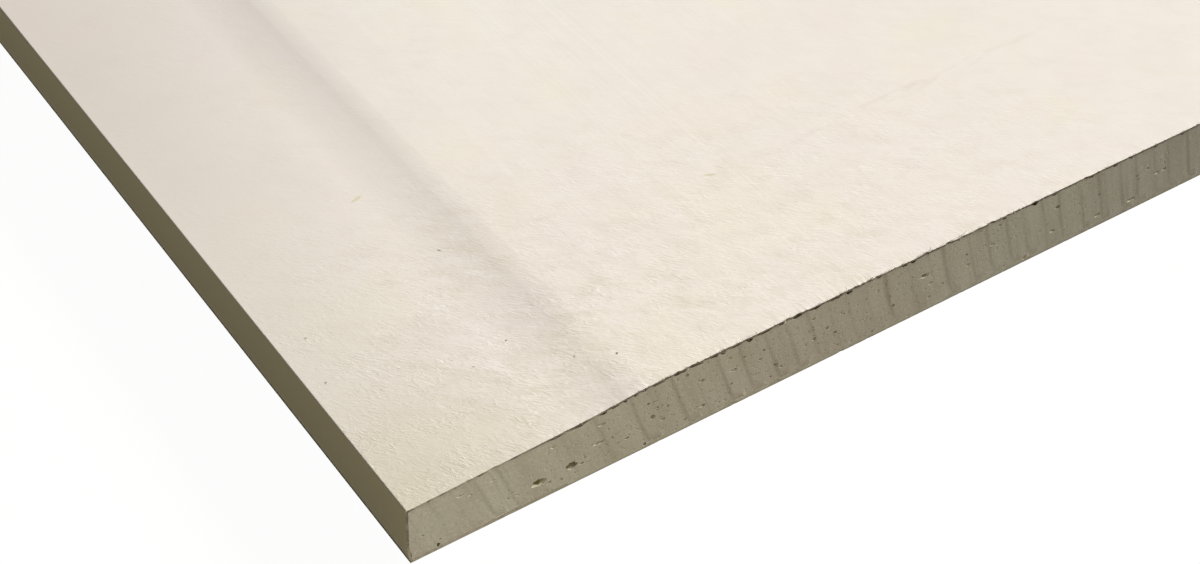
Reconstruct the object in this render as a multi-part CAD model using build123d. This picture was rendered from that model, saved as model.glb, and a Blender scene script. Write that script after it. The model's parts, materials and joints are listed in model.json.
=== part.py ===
from build123d import *
from math import radians, tan
import os

# A drywall sheet lying face up: a gypsum core, a face paper that wraps the face and both
# long edges and folds onto the back, and a back paper laid over those folds.
# X runs across the sheet, Y along it and Z up. The origin is at the middle of the back.

# Driving dimensions in millimetres
sheet_width = 1200.0
sheet_length = 2400.0
sheet_thickness = 12.5
face_paper_thickness = 0.35
back_paper_thickness = 0.3

# The recess along each long edge: a gently sloping land, a steeper ramp, and a shallow lip up to the flat face
land_width = 29.5
ramp_width = 6.4
lip_width = 16.1
edge_recess = 2.1
foot_recess = 1.02
head_recess = 0.27

# The bends of the recess: how far each runs along the ramp or the lip, as a share of its width
foot_share = 0.6
head_share = 0.3
lip_share = 0.4

# The long edges: upright, leaning in towards the back at the foot, with the core rounded above and below
undercut_height = 2.4
edge_undercut = 0.45
undercut_share = 0.4
core_top_radius = 0.2
core_bottom_radius = 0.15

# The laps on the back
flap_width = 25.0
back_paper_inset = 0.5

# Places worked out from them
long_edge = sheet_width / 2
ramp_foot = long_edge - land_width
ramp_head = ramp_foot - ramp_width
lip_end = ramp_head - lip_width
flap_end = long_edge - flap_width


def bend_radius(before, corner, after, run):
    """The radius that rounds a corner over the given run on each side of it."""
    arriving = Vector(*corner) - Vector(*before)
    leaving = Vector(*after) - Vector(*corner)
    turn = radians(arriving.get_angle(leaving))
    return run / tan(turn / 2)


def wrapped_section():
    """The cross-section inside the face paper's outer surface, from the flaps up to the face."""
    edge_bottom = (long_edge - edge_undercut, back_paper_thickness)
    edge_waist = (long_edge, back_paper_thickness + undercut_height)
    edge_top = (long_edge, sheet_thickness - edge_recess)
    foot = (ramp_foot, sheet_thickness - foot_recess)
    head = (ramp_head, sheet_thickness - head_recess)
    lip = (lip_end, sheet_thickness)
    face_middle = (0, sheet_thickness)
    right_corners = [edge_bottom, edge_waist, edge_top, foot, head, lip]
    right_radii = [
        core_bottom_radius + face_paper_thickness,
        bend_radius(edge_bottom, edge_waist, edge_top, undercut_share * undercut_height),
        core_top_radius + face_paper_thickness,
        bend_radius(edge_top, foot, head, foot_share * ramp_width),
        bend_radius(foot, head, lip, head_share * ramp_width),
        bend_radius(head, lip, face_middle, lip_share * lip_width),
    ]
    left_corners = [(-x, z) for x, z in reversed(right_corners)]
    left_radii = right_radii[::-1]
    outline = FilletPolyline(
        *right_corners,
        *left_corners,
        radius=right_radii + left_radii,
        close=True,
    )
    return make_face(outline)


def core_section(wrapped):
    """The gypsum: what the face paper wraps, and the strip between its flaps down to the back paper."""
    inside_paper = offset(wrapped, -face_paper_thickness)
    between_flaps = Pos(0, back_paper_thickness) * Rectangle(
        2 * flap_end, face_paper_thickness, align=(Align.CENTER, Align.MIN)
    )
    return inside_paper + between_flaps


def back_paper_section():
    """The flat back paper, its long edges set in from the sheet's and lapped over the flaps."""
    return Rectangle(
        sheet_width - 2 * back_paper_inset,
        back_paper_thickness,
        align=(Align.CENTER, Align.MIN),
    )


def run_along_sheet(section):
    """Carries a cross-section along the whole length, square at both cut ends."""
    return extrude(Plane.XZ * section, amount=sheet_length / 2, both=True)


wrapped = wrapped_section()
core = core_section(wrapped)
pieces = {
    "gypsum_core": run_along_sheet(core),
    "face_paper": run_along_sheet(wrapped - core),
    "back_paper": run_along_sheet(back_paper_section()),
}

os.makedirs("parts", exist_ok=True)
for name, piece in pieces.items():
    export_step(piece, f"parts/{name}.step")
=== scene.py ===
import json
from math import pi, radians, tan
from random import Random

import bmesh
import bpy
import numpy as np
from mathutils import Matrix, Vector, noise

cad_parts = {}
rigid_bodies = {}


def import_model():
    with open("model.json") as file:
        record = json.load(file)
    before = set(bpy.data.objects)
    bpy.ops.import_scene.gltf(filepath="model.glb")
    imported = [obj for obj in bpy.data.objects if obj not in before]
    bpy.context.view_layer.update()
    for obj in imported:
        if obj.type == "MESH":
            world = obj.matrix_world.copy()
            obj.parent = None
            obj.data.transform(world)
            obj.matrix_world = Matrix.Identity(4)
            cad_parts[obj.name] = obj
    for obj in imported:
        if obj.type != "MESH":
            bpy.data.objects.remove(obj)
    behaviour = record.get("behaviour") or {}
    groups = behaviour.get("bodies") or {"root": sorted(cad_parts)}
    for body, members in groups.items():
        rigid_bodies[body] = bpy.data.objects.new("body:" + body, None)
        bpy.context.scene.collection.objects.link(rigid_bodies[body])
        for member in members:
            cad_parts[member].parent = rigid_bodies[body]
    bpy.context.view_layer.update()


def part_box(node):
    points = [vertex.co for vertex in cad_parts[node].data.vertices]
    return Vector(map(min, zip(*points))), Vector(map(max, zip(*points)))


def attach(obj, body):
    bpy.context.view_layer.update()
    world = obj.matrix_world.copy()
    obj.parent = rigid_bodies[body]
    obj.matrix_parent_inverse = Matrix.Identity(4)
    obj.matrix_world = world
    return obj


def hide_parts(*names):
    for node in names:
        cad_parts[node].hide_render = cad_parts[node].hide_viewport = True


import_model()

# Lengths are in metres, and mm turns a size in millimetres into one
mm = 0.001
snap = 0.002 * mm

# Where the sheet lies, from the frame
paper_low, paper_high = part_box("face_paper")
core_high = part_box("gypsum_core")[1]
back_low, back_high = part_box("back_paper")
long_edge = paper_high.x
cut_end = paper_high.y
face_level = paper_high.z
flap_level = paper_low.z
face_paper_thickness = face_level - core_high.z
back_paper_thickness = back_high.z - back_low.z
corner = Vector((-long_edge, -cut_end, 0))

# The recess along each long edge, as the part has it: a land, a ramp and a shallow lip, with bends between
land_width = 29.5 * mm
ramp_width = 6.4 * mm
lip_width = 16.1 * mm
edge_recess = 2.1 * mm
foot_recess = 1.02 * mm
head_recess = 0.27 * mm
foot_run = 0.6 * ramp_width
head_run = 0.3 * ramp_width
lip_run = 0.4 * lip_width
taper_width = land_width + ramp_width + lip_width

# The crease at the edge itself, which is almost sharp
crease_run = 0.16 * mm
crease_height = face_level - edge_recess

# The long edge below it: upright, then leaning in towards the back, with the core rounded above and below
undercut_height = 2.4 * mm
edge_undercut = 0.45 * mm
undercut_run = 0.4 * undercut_height
core_top_radius = 0.2 * mm
core_bottom_radius = 0.15 * mm
flap_width = 25 * mm
flap_end = long_edge - flap_width

# The corners of the recess from the edge inwards: distance from the edge, depth below the face, bend's run
taper_corners = [
    (0, edge_recess, crease_run),
    (land_width, foot_recess, foot_run),
    (land_width + ramp_width, head_recess, head_run),
    (taper_width, 0, lip_run),
]
taper_places = [place for place, _, _ in taper_corners]
taper_depths = [depth for _, depth, _ in taper_corners]

# The core inside the papers, a little shorter than they are
core_half = long_edge - face_paper_thickness
core_top = face_level - face_paper_thickness
core_bottom = flap_level + face_paper_thickness
core_set_back = 0.05 * mm

# How finely the pieces are modelled: columns by the corner and elsewhere, rows of the cut, and bends
close_up_width = 150 * mm
close_column = 0.22 * mm
far_column = 0.9 * mm
most_cuts = 99
cut_rows = 9
bend_segments = 8
crease_segments = 3
arris_segments = 2

# The sharpest edge that still shades as a bend
paper_smooth = radians(40)
fibre_smooth = radians(80)
core_smooth = radians(35)


# Modelling helpers
def select_only(piece):
    bpy.ops.object.select_all(action="DESELECT")
    bpy.context.view_layer.objects.active = piece
    piece.select_set(True)


def begin(name, add_primitive, size, place):
    """Adds a primitive by itself, with its size and place in its mesh, and opens it for editing."""
    bpy.ops.object.select_all(action="DESELECT")
    add_primitive(size=1, location=place)
    piece = bpy.context.object
    piece.name = name
    piece.data.name = name
    piece.scale = size
    bpy.ops.object.transform_apply(location=True, rotation=True, scale=True)
    bpy.ops.object.mode_set(mode="EDIT")
    return piece


def join_shapes(name, points, faces):
    """Makes one object from many small shapes."""
    mesh = bpy.data.meshes.new(name)
    mesh.from_pydata(points, [], faces)
    piece = bpy.data.objects.new(name, mesh)
    bpy.context.scene.collection.objects.link(piece)
    return piece


def pick(piece, kind, test):
    """Selects only the verts, edges or faces of the open piece that pass a test."""
    bpy.ops.mesh.select_mode(type=kind)
    bpy.ops.mesh.select_all(action="DESELECT")
    shape = bmesh.from_edit_mesh(piece.data)
    parts = {"VERT": shape.verts, "EDGE": shape.edges, "FACE": shape.faces}[kind]
    for part in parts:
        if test(part):
            part.select_set(True)
    shape.select_flush_mode()
    bmesh.update_edit_mesh(piece.data)


def near(a, b):
    return abs(a - b) < snap


def runs_along(edge):
    """True for an edge that runs from one cut end to the other."""
    return abs(edge.verts[0].co.y - edge.verts[1].co.y) > cut_end


def across(edge):
    """How far an edge reaches across the sheet."""
    return abs(edge.verts[0].co.x - edge.verts[1].co.x)


def taper_depth(x):
    """How far below the flat face the paper lies at x."""
    return np.interp(long_edge - np.abs(x), taper_places, taper_depths)


def slice_at(point, normal):
    bpy.ops.mesh.select_all(action="SELECT")
    bpy.ops.mesh.bisect(plane_co=point, plane_no=normal)


def round_edges(run, segments):
    """Rounds the selected edges over a run on each side of them."""
    bpy.ops.mesh.bevel(offset_type="OFFSET", offset=run, segments=segments, profile=0.5, affect="EDGES")


def column_spacing(x):
    return close_column if x < -long_edge + close_up_width else far_column


def divide_columns(piece):
    """Cuts every edge that runs across the sheet to about the column width wanted where it lies."""

    def cuts_for(edge):
        if runs_along(edge):
            return 0
        middle = (edge.verts[0].co.x + edge.verts[1].co.x) / 2
        lengths = round(across(edge) / column_spacing(middle))
        return max(0, min(most_cuts, lengths - 1))

    while True:
        cuts = max(cuts_for(edge) for edge in bmesh.from_edit_mesh(piece.data).edges)
        if cuts == 0:
            return
        pick(piece, "EDGE", lambda e: cuts_for(e) == cuts)
        bpy.ops.mesh.subdivide(number_cuts=cuts)


def apply_modifier(piece, kind, **settings):
    select_only(piece)
    modifier = piece.modifiers.new(kind.lower(), kind)
    for name, value in settings.items():
        setattr(modifier, name, value)
    bpy.ops.object.modifier_apply(modifier=modifier.name)


def read_points(piece):
    points = np.empty(len(piece.data.vertices) * 3)
    piece.data.vertices.foreach_get("co", points)
    return points.reshape(-1, 3)


def write_points(piece, points):
    piece.data.vertices.foreach_set("co", points.ravel())
    piece.data.update()


def finish_piece(piece, angle, node=None):
    """Smooths a piece's bends, hangs it on the root body and hides the part that it replaces."""
    select_only(piece)
    bpy.ops.object.shade_smooth_by_angle(angle=angle)
    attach(piece, "root")
    if node:
        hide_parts(node)


# How the blade frayed the papers at the cut ends: the rows of points that move, how far in they do, and
# each paper's own fraying
fray_rows = [0.25 * mm, 0.7 * mm, 2 * mm]
fray_reach = 2 * mm
face_fray_seed = 1.0
face_fray_share = 1.0
back_fray_seed = 60.0
back_fray_share = 0.3
end_seed = 20

# How roughly: it swells and sinks along the cut, is most torn about 80 mm from the corner, and clean by it
swell_length = 60 * mm
swell_share = 0.5
swell_seed = 7.3
torn_middle = 82 * mm
torn_half_width = 28 * mm
torn_share = 0.7
clean_end = 37 * mm
clean_fade = 8 * mm
clean_share = 0.55

# The shape of the fraying: slow waves, small bites out of the edge, fuzz, and curls up and down
wave_length = 7 * mm
wave_reach = 0.04 * mm
bite_length = 1.3 * mm
bite_depth = 0.4 * mm
bite_start = 0.25
bite_seed = 4
fuzz_length = 0.5 * mm
fuzz_reach = 0.05 * mm
fuzz_seed = 9
curl_length = 2.2 * mm
curl_height = 0.07 * mm
curl_seed = 3.1
farthest_out = 0.08 * mm


def ragged(x):
    """How roughly the blade tore the paper at x."""
    from_corner = x + long_edge
    swell = 1 + swell_share * noise.noise((x / swell_length, swell_seed, 0))
    torn = max(0, 1 - ((from_corner - torn_middle) / torn_half_width) ** 2)
    clean = min(1, max(0, (clean_end - from_corner) / clean_fade))
    return (swell + torn_share * torn) * (1 - clean_share * clean)


def fray(x, z, seed):
    """How far the cut paper stands out past the clean line, and how far it lifts."""
    wave = noise.noise((x / wave_length, z / wave_length, seed))
    bite = max(0, noise.noise((x / bite_length, z / bite_length, seed + bite_seed)) - bite_start)
    fuzz = noise.noise((x / fuzz_length, z / fuzz_length, seed + fuzz_seed))
    curl = noise.noise((x / curl_length, curl_seed, seed))
    out = (wave_reach * wave - bite_depth * bite + fuzz_reach * fuzz) * ragged(x)
    lift = (curl_height * curl + fuzz_reach * fuzz) * ragged(x)
    return min(out, farthest_out), lift


def fray_ends(piece, seed, share):
    """Moves the last few rows at both cut ends in, out, up and down, most at the very edge."""
    points = read_points(piece)
    for point in points:
        inward = cut_end - abs(point[1])
        if inward > fray_reach:
            continue
        side = 1 if point[1] > 0 else -1
        weight = share * (1 - inward / fray_reach) ** 3
        out, lift = fray(point[0], point[2], seed + end_seed * side)
        if point[2] < core_bottom:
            out -= core_set_back / share
        point[1] += side * out * weight
        point[2] += lift * weight
    write_points(piece, points)


def thicken_paper(piece, seed, share, thickness, paper, plies):
    """Frays the open sheet's two cut ends, then thickens it, with the plies at its edges and inside."""
    divide_columns(piece)
    for row in fray_rows:
        for side in (-1, 1):
            slice_at((0, side * (cut_end - row), 0), (0, 1, 0))
    bpy.ops.object.mode_set(mode="OBJECT")
    fray_ends(piece, seed, share)
    piece.data.materials.append(paper)
    piece.data.materials.append(plies)
    apply_modifier(
        piece, "SOLIDIFY", thickness=thickness, offset=-1, use_even_offset=True,
        material_offset=1, material_offset_rim=1,
    )


# The frayed ends of the crease lie a little off its line
crease_snap = 0.1 * mm


def make_face_paper(paper, plies):
    """The flat face, drawn out over the recess, down the long edges and under the back, with its bends."""
    flat_half = long_edge - taper_width
    piece = begin(
        "face_paper_wrap", bpy.ops.mesh.primitive_plane_add,
        (2 * flat_half, 2 * cut_end, 1), (0, 0, face_level),
    )
    outward = taper_corners[::-1]
    for side in (-1, 1):
        pick(piece, "EDGE", lambda e: all(near(v.co.x, side * flat_half) for v in e.verts))
        moves = [
            (side * (a_place - b_place), 0, a_depth - b_depth)
            for (a_place, a_depth, _), (b_place, b_depth, _) in zip(outward, outward[1:])
        ]
        moves += [
            (0, 0, undercut_height - (crease_height - flap_level)),
            (-side * edge_undercut, 0, -undercut_height),
            (side * (edge_undercut - flap_width), 0, 0),
        ]
        for move in moves:
            bpy.ops.mesh.extrude_region_move(TRANSFORM_OT_translate={"value": move})
    bends = [(long_edge - place, face_level - depth, run) for place, depth, run in taper_corners[1:]]
    bends.append((long_edge, flap_level + undercut_height, undercut_run))
    bends.append((long_edge - edge_undercut, flap_level, core_bottom_radius + face_paper_thickness))
    for x, z, run in bends:
        pick(piece, "EDGE", lambda e: runs_along(e)
             and all(near(abs(v.co.x), x) and near(v.co.z, z) for v in e.verts))
        round_edges(run, bend_segments)
    slice_at((-long_edge + close_up_width, 0, 0), (1, 0, 0))
    thicken_paper(piece, face_fray_seed, face_fray_share, face_paper_thickness, paper, plies)
    bpy.ops.object.mode_set(mode="EDIT")
    pick(piece, "EDGE", lambda e: across(e) < snap and all(
        near(abs(v.co.x), long_edge) and abs(v.co.z - crease_height) < crease_snap for v in e.verts))
    round_edges(crease_run, crease_segments)
    bpy.ops.object.mode_set(mode="OBJECT")
    finish_piece(piece, paper_smooth, "face_paper")


def make_back_paper(paper, plies):
    """A flat sheet, thickened upwards from its outer side."""
    piece = begin(
        "back_paper_sheet", bpy.ops.mesh.primitive_plane_add,
        (2 * back_high.x, 2 * cut_end, 1), (0, 0, back_low.z),
    )
    bpy.ops.mesh.select_all(action="SELECT")
    bpy.ops.mesh.flip_normals()
    slice_at((-long_edge + close_up_width, 0, 0), (1, 0, 0))
    thicken_paper(piece, back_fray_seed, back_fray_share, back_paper_thickness, paper, plies)
    finish_piece(piece, paper_smooth, "back_paper")


# Loose fibres that stand out of the torn edge of the face paper, some of them from its grey plies, whose
# material is darkened with painted shade
fibre_seed = 41
fibres_each_end = 1800
fibre_chance = 0.6
shaded_grey_share = 0.3
fibre_lengths = (0.3 * mm, 1.1 * mm)
fibre_radius = 0.035 * mm
fibre_inset = 0.15 * mm
fibre_drop = 0.03 * mm
fibre_bend = 0.7

# The ways that fibres point and bend: how far along the cut, out of it and up
fibre_ways = ((-1, 1), (0.1, 1.0), (0.05, 0.9))
fibre_bends = ((-1, 1), (-1, 1), (-0.6, 0.6))

# How thick a fibre is at its root, middle and tip, and the faces between these three rings of three points
fibre_taper = (1.0, 0.9, 0.4)
fibre_faces = [
    [ring + step, ring + (step + 1) % 3, ring + 3 + (step + 1) % 3, ring + 3 + step]
    for ring in (0, 3) for step in range(3)
] + [[2, 1, 0], [6, 7, 8]]


def fibre_points(root, way, bend, length):
    """The points of one three-sided fibre, bent at its middle."""
    middle = root + way * 0.5 * length
    tip = middle + (way + fibre_bend * bend).normalized() * 0.5 * length
    aside = way.cross(Vector((0, 0, 1))).normalized()
    above = aside.cross(way)
    points = []
    for place, share in zip((root, middle, tip), fibre_taper):
        for step in range(3):
            turned = Matrix.Rotation(step * 2 * pi / 3, 3, way) @ above
            points.append(place + turned * fibre_radius * share)
    return points


def make_torn_fibres(paper, plies):
    """Hair-thin fibres at both cut ends, all in one mesh, most where the paper is most ragged."""
    draw = Random(fibre_seed)
    points = []
    faces = []
    sources = []
    for side in (-1, 1):
        for _ in range(fibres_each_end):
            x = draw.uniform(-flap_end, flap_end)
            if draw.random() > fibre_chance * ragged(x):
                continue
            length = draw.uniform(*fibre_lengths)
            root = Vector((x, side * (cut_end - fibre_inset), face_level - taper_depth(x) - fibre_drop))
            along, out, up = [draw.uniform(*span) for span in fibre_ways]
            way = Vector((along, side * out, up)).normalized()
            bend = Vector([draw.uniform(*span) for span in fibre_bends])
            first = len(points)
            points += fibre_points(root, way, bend, length)
            faces += [[first + point for point in face] for face in fibre_faces]
            # Some fibres take the plies' material, dark with painted shade
            sources += [int(draw.random() < shaded_grey_share * ragged(x))] * len(fibre_faces)
    piece = join_shapes("torn_paper_fibres", points, faces)
    select_only(piece)
    bpy.ops.object.mode_set(mode="EDIT")
    bpy.ops.mesh.select_all(action="SELECT")
    bpy.ops.mesh.normals_make_consistent(inside=False)
    bpy.ops.object.mode_set(mode="OBJECT")
    piece.data.materials.append(paper)
    piece.data.materials.append(plies)
    piece.data.polygons.foreach_set("material_index", sources)
    finish_piece(piece, fibre_smooth)


# The gypsum core: a skirt along its foot that stays upright, cuts just clear of the rounded arrises, the
# upright edges that are divided into rows, how near its top a point counts as on it, and slivers to take out
skirt = 0.15 * mm
just_clear = 1.2
least_upright = 2 * mm
top_snap = 5 * snap
sliver = 0.0005 * mm


def make_core(gypsum):
    """A block shaped to the inside of the papers, with blade marks, air voids and chips at its cut ends."""
    height = core_top - core_bottom
    piece = begin(
        "gypsum_core_cut", bpy.ops.mesh.primitive_cube_add,
        (2 * core_half, 2 * cut_end, height), (0, 0, core_bottom + height / 2),
    )
    waist = flap_level + undercut_height
    arris_line = core_half - just_clear * core_top_radius
    cuts = [long_edge - place for place in taper_places[1:]] + [flap_end, arris_line]
    for x in cuts:
        slice_at((x, 0, 0), (1, 0, 0))
        slice_at((-x, 0, 0), (1, 0, 0))
    slice_at((-long_edge + close_up_width, 0, 0), (1, 0, 0))
    for x in cuts + [core_half]:
        pick(piece, "VERT", lambda v: near(abs(v.co.x), x) and near(v.co.z, core_top))
        bpy.ops.transform.translate(value=(0, 0, -taper_depth(x)))
    slice_at((0, 0, waist), (0, 0, 1))
    for side in (-1, 1):
        pick(piece, "VERT", lambda v: near(v.co.x, side * core_half) and near(v.co.z, core_bottom))
        bpy.ops.transform.translate(value=(-side * edge_undercut, 0, 0))
    pick(piece, "EDGE", lambda e: runs_along(e)
         and all(near(abs(v.co.x), core_half) and v.co.z > waist + snap for v in e.verts))
    round_edges(core_top_radius, arris_segments)
    pick(piece, "EDGE", lambda e: runs_along(e) and all(near(v.co.z, core_bottom)
         and near(abs(v.co.x), core_half - edge_undercut) for v in e.verts))
    round_edges(core_bottom_radius, arris_segments)
    slice_at((0, 0, core_bottom + just_clear * skirt), (0, 0, 1))
    pick(piece, "FACE", lambda f: near(f.calc_center_median().z, core_bottom)
         and all(abs(v.co.x) < flap_end + snap for v in f.verts))
    bpy.ops.mesh.extrude_region_move(TRANSFORM_OT_translate={"value": (0, 0, -face_paper_thickness)})
    divide_columns(piece)
    pick(piece, "EDGE", lambda e: not runs_along(e) and across(e) < snap and e.calc_length() > least_upright)
    bpy.ops.mesh.subdivide(number_cuts=cut_rows - 1)
    bpy.ops.object.mode_set(mode="OBJECT")
    cut_the_ends(piece)
    piece.data.materials.append(gypsum)
    bubbles = make_bubbles(place_voids())
    apply_modifier(piece, "BOOLEAN", operation="DIFFERENCE", solver="EXACT", object=bubbles)
    bpy.data.objects.remove(bubbles)
    drop_slivers(piece)
    finish_piece(piece, core_smooth, "gypsum_core")


def drop_slivers(piece):
    """Takes out the slivers that the cutting left: flat faces, and bits that hang on nothing."""
    bpy.ops.object.mode_set(mode="EDIT")
    bpy.ops.mesh.select_all(action="SELECT")
    bpy.ops.mesh.dissolve_degenerate(threshold=sliver)
    pick(piece, "FACE", lambda f: f.calc_area() > far_column * cut_end)
    bpy.ops.mesh.select_linked()
    bpy.ops.mesh.select_all(action="INVERT")
    bpy.ops.mesh.delete(type="FACE")
    bpy.ops.object.mode_set(mode="OBJECT")


# The blade's marks on the cut: they lean, each sinks slowly and steps back up, and by the long edges they
# stand upright
mark_seed = 11
cut_lean = radians(21)
grip_width = 5 * mm
mark_spacing = 3.8 * mm
mark_depth = 0.065 * mm
mark_run = 0.8 * mark_spacing
mark_step = 0.6 * mm

# How the marks vary: spacing, strength, how far they bow, and how much deeper they are at the top
mark_spacings = (0.82, 1.2)
mark_strengths = (0.1, 1.0)
mark_bows = (-0.5 * mm, 0.5 * mm)
mark_deepening = (-1.2, 1.2)

# The unevenness of the cut: how far it goes, the width and height that it repeats over, and its seed
unevenness = [(0.014 * mm, 7 * mm, 9 * mm, 0), (0.006 * mm, 1.1 * mm, 1.6 * mm, 5)]

# The marks by the corner: distance from the corner at mid-height in millimetres, and strength
corner_marks = [
    (4.2, 0.3), (7.6, 0.15), (11.0, 0.6), (14.5, 0.8), (18.1, 0.1), (21.7, 0.1), (25.3, 0.25),
    (29.9, 0.5), (33.2, 0.15), (36.5, 0.9), (40.0, 0.2), (43.2, 0.9), (47.0, 0.15), (50.8, 1.0),
    (54.6, 0.75), (58.9, 0.9), (62.9, 0.6), (66.6, 0.6), (70.2, 0.2), (73.7, 0.3), (77.5, 0.2),
    (81.2, 1.0), (85.6, 0.3), (89.0, 0.3), (92.3, 0.8), (97.0, 0.4), (100.8, 0.6), (104.8, 0.55),
    (108.3, 0.5), (112.0, 0.5), (115.8, 0.5), (119.7, 0.55), (123.9, 0.5), (128.9, 0.55), (132.2, 0.35),
    (136.0, 0.4), (139.3, 0.4), (143.7, 0.65),
]


def marks_of_end(side, draw):
    """The blade's marks on one end: place at mid-height, depth, bow, and how much deeper at the top."""
    places = []
    if side < 0:
        places = [(-long_edge + place * mm, strength) for place, strength in corner_marks]
    place = places[-1][0] if places else -long_edge - mark_spacing
    while place < long_edge + mark_spacing:
        place += draw.uniform(*mark_spacings) * mark_spacing
        places.append((place, draw.uniform(*mark_strengths)))
    return [
        (place, strength * mark_depth, draw.uniform(*mark_bows), draw.uniform(*mark_deepening))
        for place, strength in places
    ]


def cut_the_ends(piece):
    """Leans the columns of both ends with the blade, then cuts its marks."""
    points = read_points(piece)
    draw = Random(mark_seed)
    lean = tan(cut_lean)
    middle_height = face_level / 2
    for side in (-1, 1):
        end = np.flatnonzero(np.abs(points[:, 1] - side * cut_end) < snap)
        x = points[end, 0].copy()
        z = points[end, 2].copy()
        on_top = np.abs(z - (core_top - taper_depth(x))) < top_snap
        grip = np.clip((core_half - np.abs(x)) / grip_width, 0, 1)
        x += np.where(z > core_bottom + skirt, lean * (middle_height - z) * grip, 0)
        z = np.where(on_top, core_top - taper_depth(x), z)
        along = x + lean * (z - middle_height)
        high = z / face_level - 0.5
        relief = np.zeros(len(end))
        for place, depth, bow, deeper in marks_of_end(side, draw):
            off = along + bow * (1 - 4 * high * high) - place
            sinking = np.clip(1 + off / mark_run, 0, 1)
            rising = np.clip(1 - off / mark_step, 0, 1)
            relief -= depth * (1 + deeper * high) * sinking * rising * rising * (3 - 2 * rising)
        for i, (px, pz) in enumerate(zip(along, z)):
            for depth, width, height, seed in unevenness:
                relief[i] += depth * noise.noise((px / width, pz / height, seed + side))
        points[end, 0] = x
        points[end, 1] += side * (relief - core_set_back)
        points[end, 2] = z
    write_points(piece, points)


# The air voids that show most by the corner, in millimetres: distance from the corner, height above the
# floor, width, height, depth
corner_voids = [
    (25.4, 3.8, 1.7, 2.0, 1.1), (20.3, 3.5, 2.1, 2.0, 1.0), (21.9, 2.6, 0.7, 0.6, 0.35),
    (4.7, 0.95, 0.6, 0.75, 0.8), (5.0, 1.9, 0.4, 0.4, 0.3), (15.3, 3.4, 0.5, 0.5, 0.25),
    (16.8, 3.2, 0.5, 0.5, 0.15), (27.1, 3.3, 0.7, 0.4, 0.4), (27.6, 4.1, 0.5, 0.4, 0.3),
    (23.9, 2.0, 0.5, 0.5, 0.4), (22.4, 9.2, 1.0, 0.7, 0.25), (30.1, 9.1, 1.2, 0.8, 0.3),
    (29.7, 5.6, 1.7, 0.7, 0.3), (32.0, 5.4, 0.5, 0.5, 0.4), (34.5, 3.9, 0.7, 0.6, 0.5),
    (38.7, 5.6, 0.9, 1.0, 0.6), (37.7, 8.7, 0.5, 0.5, 0.5), (39.4, 7.1, 0.4, 0.5, 0.5),
    (41.2, 6.4, 0.5, 0.6, 0.5), (40.5, 4.2, 0.8, 0.5, 0.5), (37.7, 0.8, 0.6, 0.7, 0.6),
    (44.0, 10.7, 0.7, 0.8, 0.6), (46.8, 8.2, 1.0, 1.1, 0.3), (47.4, 3.0, 0.9, 0.7, 0.5),
    (43.0, 2.2, 0.5, 0.3, 0.3), (52.2, 7.3, 1.2, 0.5, 0.3), (54.0, 8.9, 0.6, 0.6, 0.4),
    (57.6, 8.3, 0.6, 0.7, 0.5), (51.6, 10.0, 0.5, 0.6, 0.4), (60.3, 4.1, 0.8, 0.8, 0.6),
    (61.4, 3.2, 0.6, 0.6, 0.5), (66.3, 9.9, 0.7, 0.8, 0.4), (69.3, 6.7, 0.5, 0.6, 0.5),
    (71.0, 4.9, 0.7, 0.7, 0.5), (72.0, 1.9, 0.6, 0.5, 0.4), (67.1, 5.6, 0.8, 0.8, 0.25),
    (87.6, 7.7, 2.0, 0.8, 0.9), (89.3, 5.5, 0.8, 1.3, 0.35), (89.6, 2.6, 0.8, 0.8, 0.35),
    (96.0, 7.9, 0.6, 0.6, 0.5), (96.8, 5.5, 0.8, 0.7, 0.5), (81.0, 6.9, 0.5, 0.6, 0.4),
    (101.2, 7.4, 0.9, 1.0, 0.3), (109.4, 0.9, 0.9, 1.1, 0.4), (114.5, 8.8, 1.0, 0.8, 0.7),
    (114.6, 3.9, 1.2, 1.0, 0.35), (124.8, 2.5, 1.3, 1.1, 0.4), (132.5, 2.3, 1.8, 1.1, 0.4),
    (137.2, 5.7, 1.1, 0.9, 0.3), (138.9, 5.7, 0.9, 0.7, 0.4), (132.2, 7.2, 0.6, 0.6, 0.4),
    (134.4, 7.7, 0.8, 0.7, 0.4), (8.0, 8.4, 1.0, 0.5, 0.2), (9.6, 7.6, 0.8, 0.4, 0.2),
    (13.0, 8.3, 0.7, 0.5, 0.2), (2.4, 4.2, 0.6, 0.4, 0.2),
]

# Chips along the top of the cut, under the paper, in millimetres: distance from the corner, width and height
top_chips = [
    (22.8, 2.6, 0.4), (26.4, 2.6, 0.5), (30.2, 1.2, 0.6), (32.0, 1.2, 0.65), (33.8, 1.2, 0.65),
    (35.4, 1.0, 0.6), (39.4, 2.4, 0.5), (42.6, 2.2, 0.55), (45.6, 2.2, 0.5), (52.3, 2.2, 0.55),
    (57.3, 2.6, 0.6), (63.0, 2.4, 0.6), (36.9, 0.9, 0.5), (48.5, 1.5, 0.6), (50.1, 0.9, 0.8),
    (54.6, 1.1, 1.0), (60.3, 1.0, 0.6), (66.3, 2.0, 0.7), (69.9, 2.8, 0.6), (72.6, 1.1, 0.8),
    (78.2, 0.8, 0.5), (83.0, 1.0, 0.6), (84.6, 1.1, 0.9), (93.4, 0.7, 0.5), (102.5, 0.9, 0.6),
    (108.9, 1.7, 0.8), (113.0, 1.0, 0.7), (120.8, 1.0, 0.6), (125.8, 1.1, 0.7), (129.4, 0.8, 0.6),
    (134.8, 1.0, 0.7), (140.8, 0.9, 0.6),
]
chip_drop = 0.03 * mm
chip_depth = 0.7 * mm
chip_stretch = 1.4

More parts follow.
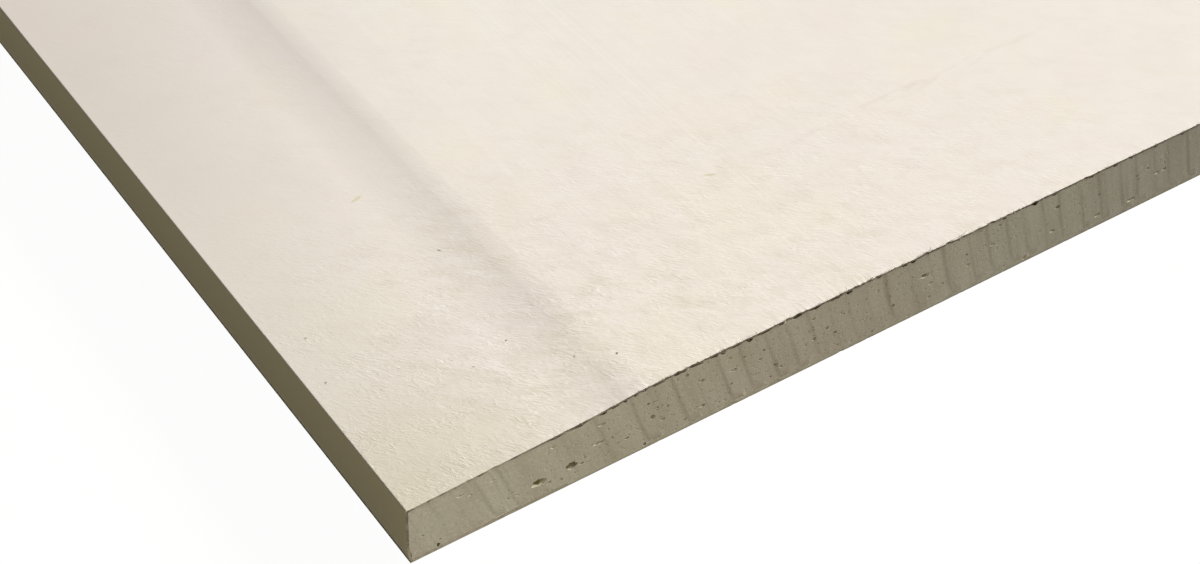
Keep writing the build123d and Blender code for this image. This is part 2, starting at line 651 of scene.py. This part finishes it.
# The voids placed by chance: how many, the heights they lie between, how wide, how far apart, and their
# proportions
void_seed = 23
plain_width = 27 * mm
voids_by_corner = 55
voids_elsewhere = 330
widest_by_corner = 0.6 * mm
widest_elsewhere = 1.7 * mm
void_margin = 1 * mm
void_heights = (0.8 * mm, 11.8 * mm)
least_wide = 0.2 * mm
mean_wider = 0.2 * mm
apart_share = 0.75
high_shares = (0.6, 1.1)
deep_shares = (0.4, 1.0)

# The shape of a void: how far it leans in as it rises, the width from which it is made finer, and its lumps
undercut = 0.8
least_large = 0.85 * mm
lump_seed = 5
lump_share = 0.6
lump_scale = 3
lump_span = 50


def place_voids():
    """The voids and chips, none touching another: (end, x, z, width, height, depth, lean in)."""
    draw = Random(void_seed)
    placed = []
    for from_corner, height, wide, high, deep in corner_voids:
        x = -long_edge + from_corner * mm
        placed.append((-1, x, height * mm, wide * mm, high * mm, deep * mm, undercut))
    for from_corner, wide, high in top_chips:
        x = -long_edge + from_corner * mm
        height = core_top - taper_depth(x) - chip_drop
        placed.append((-1, x, height, wide * mm, chip_stretch * high * mm, chip_depth, -undercut))
    close_end = -core_half + close_up_width
    zones = [
        (-1, -core_half + plain_width, close_end, voids_by_corner, widest_by_corner),
        (-1, close_end, core_half, voids_elsewhere, widest_elsewhere),
        (1, -core_half, core_half, voids_elsewhere, widest_elsewhere),
    ]
    for side, start, stop, count, widest in zones:
        goal = len(placed) + count
        while len(placed) < goal:
            x = draw.uniform(start + void_margin, stop - void_margin)
            z = draw.uniform(*void_heights)
            wide = min(least_wide + draw.expovariate(1 / mean_wider), widest)
            if any(s == side and (x - a) ** 2 + (z - b) ** 2 < (apart_share * (wide + w)) ** 2
                   for s, a, b, w, *_ in placed):
                continue
            high = wide * draw.uniform(*high_shares)
            placed.append((side, x, z, wide, high, wide * draw.uniform(*deep_shares), undercut))
    return placed


def round_bubble(divisions):
    """The points and faces of a round bubble, 1 across."""
    bpy.ops.object.select_all(action="DESELECT")
    bpy.ops.mesh.primitive_ico_sphere_add(subdivisions=divisions, radius=0.5)
    bubble = bpy.context.object
    points = read_points(bubble)
    faces = np.array([list(p.vertices) for p in bubble.data.polygons])
    bpy.data.objects.remove(bubble)
    return points, faces


def make_bubbles(hollows):
    """One mesh of lumpy little bubbles to take out of the core's cut ends."""
    small = round_bubble(2)
    large = round_bubble(3)
    draw = np.random.default_rng(lump_seed)
    points = []
    triangles = []
    first = 0
    for side, x, z, wide, high, deep, lean_in in hollows:
        shape, faces = large if wide > least_large else small
        away = draw.uniform(-lump_span, lump_span, 3)
        lumps = np.array([[1 + lump_share * noise.noise(lump_scale * point + away)] for point in shape])
        own = shape * lumps * (wide, 2 * deep, high)
        own[:, 1] -= side * lean_in * own[:, 2]
        triangles += (faces + first).tolist()
        points += (own + (x, side * (cut_end - core_set_back), z)).tolist()
        first += len(shape)
    return join_shapes("bubbles", points, triangles)


# Materials
def linear(hex_colour):
    """An sRGB hex colour as the linear RGBA that shader sockets take."""
    channels = [int(hex_colour[i:i + 2], 16) / 255 for i in (1, 3, 5)]
    return [c / 12.92 if c <= 0.04045 else ((c + 0.055) / 1.055) ** 2.4 for c in channels] + [1.0]


def add_node(tree, kind, settings=None, links=None):
    """Adds one node, sets its properties and inputs, and links inputs to other nodes' outputs."""
    node = tree.nodes.new(kind)
    for name, value in (settings or {}).items():
        if isinstance(name, str) and name not in node.inputs:
            setattr(node, name, value)
        else:
            node.inputs[name].default_value = value
    for name, output in (links or {}).items():
        tree.links.new(output, node.inputs[name])
    return node


def start_material(name, roughness, ior):
    """A new material, its tree, its shader, and the place of each point in the object."""
    material = bpy.data.materials.new(name)
    material.use_nodes = True
    tree = material.node_tree
    shader = tree.nodes["Principled BSDF"]
    shader.inputs["Roughness"].default_value = roughness
    shader.inputs["IOR"].default_value = ior
    place = add_node(tree, "ShaderNodeTexCoord").outputs["Object"]
    return material, tree, shader, place


def patches(tree, place, size, turn=(0, 0, 0), detail=2.0, wander=0.0):
    """A pattern of soft patches that have this size in millimetres along three turned axes."""
    laid = add_node(
        tree, "ShaderNodeMapping",
        {"vector_type": "TEXTURE", "Rotation": turn, "Scale": [side * mm for side in size]},
        {"Vector": place},
    )
    spread = add_node(
        tree, "ShaderNodeTexNoise",
        {"Scale": 1.0, "Detail": detail, "Distortion": wander}, {"Vector": laid.outputs[0]},
    )
    return spread.outputs["Fac"]


def reach(tree, place, x, y, half_length, half_width, turn=0):
    """How far out a point lies in an oval on the face, in millimetres from the corner: 1 on its rim."""
    laid = add_node(
        tree, "ShaderNodeMapping",
        {"vector_type": "TEXTURE", "Location": corner + Vector((x, y, 0)) * mm,
         "Rotation": (0, 0, radians(turn)), "Scale": (half_length * mm, half_width * mm, 1.0)},
        {"Vector": place},
    )
    flat = add_node(
        tree, "ShaderNodeVectorMath", {"operation": "MULTIPLY", 1: (1, 1, 0)}, {0: laid.outputs[0]},
    )
    length = add_node(tree, "ShaderNodeVectorMath", {"operation": "LENGTH"}, {0: flat.outputs[0]})
    return length.outputs["Value"]


def overlap(tree, *runs):
    """How far patterns hold at once: each runs between two (value, amount) pairs, and they multiply."""
    held = None
    for pattern, start, stop in runs:
        amount = add_node(
            tree, "ShaderNodeMapRange",
            {"From Min": start[0], "From Max": stop[0], "To Min": start[1], "To Max": stop[1]},
            {"Value": pattern},
        ).outputs[0]
        if held is not None:
            both = add_node(tree, "ShaderNodeMath", {"operation": "MULTIPLY"}, {0: held, 1: amount})
            amount = both.outputs[0]
        held = amount
    return held


def paint(tree, shader, ground, layers):
    """Lays colours over a ground colour in turn, each as far as its patterns hold."""
    below = None
    for colour, *runs in layers:
        settings = {"data_type": "RGBA", 6: linear(ground), 7: linear(colour)}
        links = {0: overlap(tree, *runs)}
        if below is not None:
            links[6] = below
        below = add_node(tree, "ShaderNodeMix", settings, links).outputs[2]
    tree.links.new(below, shader.inputs["Base Color"])


# Marks on the face: x and y from the corner, half length and half width in mm, turn in degrees, colour
face_marks = [
    (37.5, 7.4, 0.3, 0.2, 30, "#7d7568"), (32.5, 10.3, 0.3, 0.18, 80, "#b3aa9c"),
    (4.4, 33.8, 0.3, 0.2, 0, "#aca394"), (28.6, 38.6, 0.4, 0.2, 120, "#a59b8b"),
    (24.4, 54.8, 1.3, 0.4, 15, "#ddd3b9"), (71.1, 30.7, 1.2, 0.3, -25, "#d6ccb4"),
    (26.7, 18.2, 0.25, 0.18, 40, "#948b7d"), (20.4, 16.5, 0.25, 0.18, 0, "#bdb4a5"),
    (2.6, 25.0, 0.3, 0.2, 70, "#a59c8c"),
]
# A mark is whole within about half of its oval, and fades out to its rim
spot_inside = (0.55, 1.0)
spot_rim = (1.0, 0.0)

# How far the felted fibres stand up, and where their mean level lies in the pattern
felt_height = 0.065 * mm
felt_level = 0.58


def make_face_paper_material():
    """Ivory face paper, felted from fibres and pressed: matt, with short raised fibres lying slantwise and
    roughest by the corner, faint clouds where they bunched, painted grey shade by the long edges, painted
    shade where the light falls off over the corner's end of the face, yellowest by the corner, a painted
    warm shade on the long edge itself, faintly yellow and pink patches, and a few flecks from the recycled
    stock."""
    material, tree, shader, place = start_material("ivory felted paper", roughness=0.9, ior=1.5)
    # Real fibres are about 0.03 mm wide; they are drawn over ten times as wide to show
    felt = patches(tree, place, (1.9, 0.6, 0.6), (0, 0, radians(-56)), wander=1.2)
    for angle in (-44, -30):
        lying = patches(tree, place, (2.2, 0.65, 0.65), (0, 0, radians(angle)), wander=1.2)
        felt = add_node(tree, "ShaderNodeMath", {"operation": "MAXIMUM"}, {0: felt, 1: lying}).outputs[0]
    rough = [
        (reach(tree, place, 8, 4, 200, 80), (0.03, 1.7), (0.7, 0.3)),
        (patches(tree, place, (7, 5, 6)), (0.38, 0.65), (0.62, 1.25)),
    ]
    level = add_node(tree, "ShaderNodeMath", {"operation": "SUBTRACT", 1: felt_level}, {0: felt}).outputs[0]
    standing = {0: level, 1: overlap(tree, *rough)}
    felt = add_node(tree, "ShaderNodeMath", {"operation": "MULTIPLY"}, standing).outputs[0]
    blotches = patches(tree, place, (4.5, 2.5, 3), (0, 0, radians(-40)), 3.0)
    clouds = patches(tree, place, (12, 12, 12), detail=3.0)
    broad = patches(tree, place, (80, 130, 80))
    stock = patches(tree, place, (16, 16, 16))
    broken = patches(tree, place, (4, 1.4, 2))
    scuff = reach(tree, place, 110, 31, 34, 1.3, 1.8)
    flecks = add_node(tree, "ShaderNodeTexVoronoi", {"Scale": 1 / (30 * mm)}, {"Vector": place})
    apart = add_node(tree, "ShaderNodeSeparateXYZ", {}, {0: place})
    from_middle = add_node(tree, "ShaderNodeMath", {"operation": "ABSOLUTE"}, {0: apart.outputs["X"]})
    paint(tree, shader, "#ece6de", [
        # Painted shade: a broad darker, warmer patch over the corner's end of the face, where the light
        # falls off
        ("#e6d9cc", (reach(tree, place, 45, 5, 170, 100), (0.0, 0.5), (1.0, 0.0))),
        # Shade between the fibres, and light on them
        ("#d3cbbf", (felt, (0.0, 0.0), (-0.16, 0.25))),
        ("#f9f6f0", (felt, (0.02, 0.0), (0.16, 0.25))),
        ("#d8cebf", (blotches, (0.45, 0.0), (0.7, 0.4)), *rough),
        ("#ded6ca", (clouds, (0.48, 0.0), (0.7, 0.2))),
        ("#ddd6cc", (broad, (0.45, 0.0), (0.7, 0.12))),
        ("#e8e1c6", (stock, (0.52, 0.0), (0.68, 0.2))),
        ("#eadcd9", (stock, (0.48, 0.0), (0.32, 0.2))),
        # Painted shade by the long edges, on the sloping land of the recess; painted pinkish shade where the
        # light falls off along the near one, away from the corner; and painted yellow shade by the corner
        ("#d6cfc3", (from_middle.outputs[0], (long_edge - 24 * mm, 0.0), (long_edge - 4 * mm, 0.6))),
        ("#cdc0bc", (reach(tree, place, 5, 120, 60, 75), (0.2, 0.35), (1.0, 0.0))),
        ("#cbc1a6", (reach(tree, place, 0, 0, 30, 24), (0.1, 0.5), (1.0, 0.0))),
        *[(colour, (reach(tree, place, *oval), spot_inside, spot_rim)) for *oval, colour in face_marks],
        ("#cdc2b2", (scuff, spot_inside, spot_rim), (broken, (0.45, 0.0), (0.7, 0.35))),
        ("#9a9184", (flecks.outputs["Distance"], (0.007, 0.5), (0.012, 0.0))),
        # Painted warm shade on the paper of the long edge itself, which turns it yellower
        ("#e7dcb6", (apart.outputs["Z"], (crease_height - 0.05 * mm, 0.0), (crease_height - 0.2 * mm, 1.0))),
    ])
    raised = add_node(tree, "ShaderNodeBump", {"Strength": 1.0, "Distance": felt_height}, {"Height": felt})
    tree.links.new(raised.outputs[0], shader.inputs["Normal"])
    return material


def make_plies_material():
    """The papers' cut edges: grey-brown recycled plies, fuzzy, and painted darker with the shade under the
    torn paper, smeared with gypsum dust low down, by the corner and in patches."""
    material, tree, shader, place = start_material("cut grey paper plies", roughness=0.95, ior=1.5)
    fuzz = patches(tree, place, (0.5, 0.5, 0.12))
    dust = patches(tree, place, (2.2, 2.2, 0.7), detail=3.0)
    smears = patches(tree, place, (1.5, 1.5, 1.5))
    apart = add_node(tree, "ShaderNodeSeparateXYZ", {}, {0: place})
    by_corner = (apart.outputs["X"], (-long_edge + 14 * mm, 0.9), (-long_edge + 24 * mm, 0.0))
    past_fold = (apart.outputs["X"], (-long_edge + 0.6 * mm, 0.0), (-long_edge + 1.5 * mm, 1.0))
    # Painted shade: the plies' ground and their dark fuzz are darker than the grey stock, for the shade at
    # the torn edge
    paint(tree, shader, "#5c5243", [
        ("#3b342a", (fuzz, (0.45, 0.0), (0.65, 0.8))),
        ("#968e7c", (dust, (0.52, 0.0), (0.74, 0.5))),
        ("#807a69", (apart.outputs["Z"], (2 * mm, 0.9), (4 * mm, 0.0))),
        ("#8a8373", (smears, (0.42, 0.0), (0.5, 1.0)), by_corner, past_fold),
    ])
    return material


# How deep the small pits are sunk, and how far the sandy grain stands up beside that
pit_depth = 0.08 * mm
grain_share = 0.15


def make_gypsum_material():
    """Set gypsum plaster, foamed and cut with a blade: chalky and quite matt, olive grey, faintly clouded,
    with a fine sandy grain, pale crumbs, small pits that bunch together and are painted darker with their
    shade, and faint leaning drag lines. The lower lips of the air voids, where they face up, are painted
    pale as a painted highlight, and deep inside the voids a painted brown shade darkens them."""
    material, tree, shader, place = start_material("cut gypsum plaster", roughness=0.95, ior=1.52)
    lean = (0, -cut_lean, 0)
    streaks = patches(tree, place, (0.7, 4, 18), lean)
    bands = patches(tree, place, (3.7, 9, 40), lean, 1.0)
    mottle = patches(tree, place, (6, 6, 6), detail=4.0)
    grain = patches(tree, place, (0.35, 0.35, 0.35))
    facing = add_node(tree, "ShaderNodeNewGeometry").outputs["Normal"]
    upward = add_node(tree, "ShaderNodeSeparateXYZ", {}, {0: facing}).outputs["Z"]
    apart = add_node(tree, "ShaderNodeSeparateXYZ", {}, {0: place})
    from_middle = add_node(tree, "ShaderNodeMath", {"operation": "ABSOLUTE"}, {0: apart.outputs["Y"]})
    below_paper = (apart.outputs["Z"], (core_top - 1.0 * mm, 1.0), (core_top - 0.7 * mm, 0.0))
    past_corner = (apart.outputs["X"], (-long_edge + 8 * mm, 0.2), (-long_edge + 26 * mm, 1.0))
    # Pits too small to cut, in bunches some 9 mm across, few by the corner, and all along a rough stretch
    bunches = overlap(tree, (patches(tree, place, (9, 9, 9)), (0.42, 0.0), (0.62, 1.0)), past_corner)
    rough = overlap(tree, (reach(tree, place, 58, 0, 42, 42), (0.5, 1.0), (1.0, 0.0)))
    pitted = add_node(tree, "ShaderNodeMath", {"operation": "MAXIMUM"}, {0: bunches, 1: rough}).outputs[0]
    pits = patches(tree, place, (0.75, 0.75, 0.55))
    crumbled = overlap(tree, (pits, (0.6, 0.0), (0.72, 1.0)), (pitted, (0.0, 0.0), (1.0, 1.0)))
    paint(tree, shader, "#959081", [
        ("#7a7464", (streaks, (0.52, 0.0), (0.74, 0.4))),
        ("#817a6a", (bands, (0.45, 0.0), (0.7, 0.35))),
        ("#8a806f", (mottle, (0.48, 0.0), (0.75, 0.45))),
        ("#b3ad9d", (grain, (0.6, 0.0), (0.74, 0.45))),
        ("#746d5c", (grain, (0.42, 0.0), (0.28, 0.4))),
        # Painted highlight on the up-facing lower lips of the voids, and painted shade deep inside them
        ("#c4bb9f", (upward, (0.2, 0.0), (0.5, 0.42)), (upward, (0.93, 1.0), (0.98, 0.0)), below_paper),
        # Painted shade, brown, deeper than about 0.26 mm in from the cut
        ("#746840", (from_middle.outputs[0], (cut_end - 0.26 * mm, 0.0), (cut_end - 0.5 * mm, 0.9))),
        ("#7e7262", (rough, (0.0, 0.0), (1.0, 0.27))),
        # Painted shade in the small pits of the bump, darker where they sink
        ("#6c634e", (crumbled, (0.0, 0.0), (1.0, 0.4))),
    ])
    sandy = add_node(tree, "ShaderNodeMath", {"operation": "MULTIPLY", 1: grain_share}, {0: grain})
    heights = {0: sandy.outputs[0], 1: crumbled}
    relief = add_node(tree, "ShaderNodeMath", {"operation": "SUBTRACT"}, heights).outputs[0]
    sunk = add_node(tree, "ShaderNodeBump", {"Strength": 1.0, "Distance": pit_depth}, {"Height": relief})
    tree.links.new(sunk.outputs[0], shader.inputs["Normal"])
    return material


# How far the fibres of the back paper stand up
back_fibre_height = 0.04 * mm


def make_back_paper_material():
    """Grey-buff back paper of recycled stock: rougher and darker than the face, with fibres and flecks."""
    material, tree, shader, place = start_material("grey buff recycled paper", roughness=0.92, ior=1.5)
    lying = [patches(tree, place, (1.9, 0.35, 0.35), (0, 0, radians(angle)), 1.0) for angle in (20, 110)]
    crossed = dict(enumerate(lying))
    fibres = add_node(tree, "ShaderNodeMath", {"operation": "MAXIMUM"}, crossed).outputs[0]
    clouds = patches(tree, place, (14, 14, 14), detail=3.0)
    flecks = add_node(tree, "ShaderNodeTexVoronoi", {"Scale": 1 / (5 * mm)}, {"Vector": place})
    paint(tree, shader, "#a1968a", [
        ("#857a6d", (fibres, (0.58, 0.0), (0.45, 0.8))),
        ("#8e8274", (clouds, (0.45, 0.0), (0.7, 0.6))),
        ("#4f4a46", (flecks.outputs["Distance"], (0.04, 0.8), (0.06, 0.0))),
    ])
    raised = add_node(
        tree, "ShaderNodeBump", {"Strength": 1.0, "Distance": back_fibre_height}, {"Height": fibres},
    )
    tree.links.new(raised.outputs[0], shader.inputs["Normal"])
    return material


face_paper = make_face_paper_material()
plies = make_plies_material()
make_face_paper(face_paper, plies)
make_torn_fibres(face_paper, plies)
make_back_paper(make_back_paper_material(), plies)
make_core(make_gypsum_material())

# The stage: a floor that looks white but throws back little light, and the light of the room
floor_size = 60
floor_lift = 0.968
floor_seen = [0.04, 0.0375, 0.031, 1]
floor_colour = [0.13, 0.122, 0.1, 1]
ambient = [0.17, 0.16, 0.135, 1]
white = [1, 1, 1, 1]


def seen_directly(tree):
    """1 for rays from the camera, and for what gloss or glass shows of the background."""
    path = add_node(tree, "ShaderNodeLightPath").outputs
    seen = path["Is Camera Ray"]
    for ray in ("Is Glossy Ray", "Is Transmission Ray"):
        seen = add_node(tree, "ShaderNodeMath", {"operation": "MAXIMUM"}, {0: seen, 1: path[ray]}).outputs[0]
    return seen


def lay_floor():
    """A pale floor that looks white and keeps the sheet's soft shadow, and throws back little light."""
    bpy.ops.object.select_all(action="DESELECT")
    bpy.ops.mesh.primitive_plane_add(size=floor_size)
    floor = bpy.context.object
    floor.name = "floor"
    material = bpy.data.materials.new("pale studio floor")
    material.use_nodes = True
    tree = material.node_tree
    tree.nodes.remove(tree.nodes["Principled BSDF"])
    seen = seen_directly(tree)
    lift = add_node(tree, "ShaderNodeMath", {"operation": "MULTIPLY", 1: floor_lift}, {0: seen})
    glow = add_node(tree, "ShaderNodeEmission", {"Color": white}, {"Strength": lift.outputs[0]})
    shade = add_node(tree, "ShaderNodeMix", {"data_type": "RGBA", 6: floor_colour, 7: floor_seen}, {0: seen})
    matt = add_node(tree, "ShaderNodeBsdfDiffuse", {}, {"Color": shade.outputs[2]})
    both = add_node(tree, "ShaderNodeAddShader", {}, {0: glow.outputs[0], 1: matt.outputs[0]})
    tree.links.new(both.outputs[0], tree.nodes["Material Output"].inputs["Surface"])
    floor.data.materials.append(material)


def set_world():
    """Even light from all round, with a white background."""
    world = bpy.data.worlds.new("studio")
    bpy.context.scene.world = world
    world.use_nodes = True
    tree = world.node_tree
    seen = seen_directly(tree)
    air = add_node(tree, "ShaderNodeMix", {"data_type": "RGBA", 6: ambient, 7: white}, {0: seen})
    tree.links.new(air.outputs[2], tree.nodes["Background"].inputs["Color"])


def hang_lamp(name, kind, place, target, energy, colour, **shape):
    """A lamp at a place that points at a target, both measured from the corner."""
    data = bpy.data.lights.new(name, kind)
    data.energy = energy
    data.color = linear(colour)[:3]
    for key, value in shape.items():
        setattr(data, key, value)
    lamp = bpy.data.objects.new(name, data)
    bpy.context.scene.collection.objects.link(lamp)
    lamp.location = corner + Vector(place)
    lamp.rotation_euler = (Vector(target) - Vector(place)).to_track_quat("-Z", "Y").to_euler()
    lamp.visible_camera = False


lay_floor()
set_world()
hang_lamp(
    "key from the right", "SUN", place=(1.9, -0.28, 1.0), target=(0, 0, 0), energy=5.8, colour="#ffffff",
    angle=radians(14),
)
hang_lamp(
    "low front fill", "AREA", place=(0.01, -0.155, 0.022), target=(0.02, 0, 0.006), energy=0.157,
    colour="#fffaea", shape="RECTANGLE", size=0.06, size_y=0.03,
)

# The camera, where the photograph was taken from
view_down = radians(42.469)
view_azimuth = radians(37.431)
view_roll = radians(3.576)
view_from_corner = Vector((-81.17, -142.93, 200.36)) * mm
camera_data = bpy.data.cameras.new("photo view")
camera_data.sensor_fit = "HORIZONTAL"
camera_data.sensor_width = 36
camera_data.lens = 59.643
camera_data.clip_start = 10 * mm
camera = bpy.data.objects.new("photo view", camera_data)
bpy.context.scene.collection.objects.link(camera)
turn = (
    Matrix.Rotation(-view_azimuth, 4, "Z")
    @ Matrix.Rotation(pi / 2 - view_down, 4, "X")
    @ Matrix.Rotation(view_roll, 4, "Z")
)
camera.matrix_world = Matrix.Translation(corner + view_from_corner) @ turn
bpy.context.scene.camera = camera
bpy.context.scene.view_settings.view_transform = "Standard"
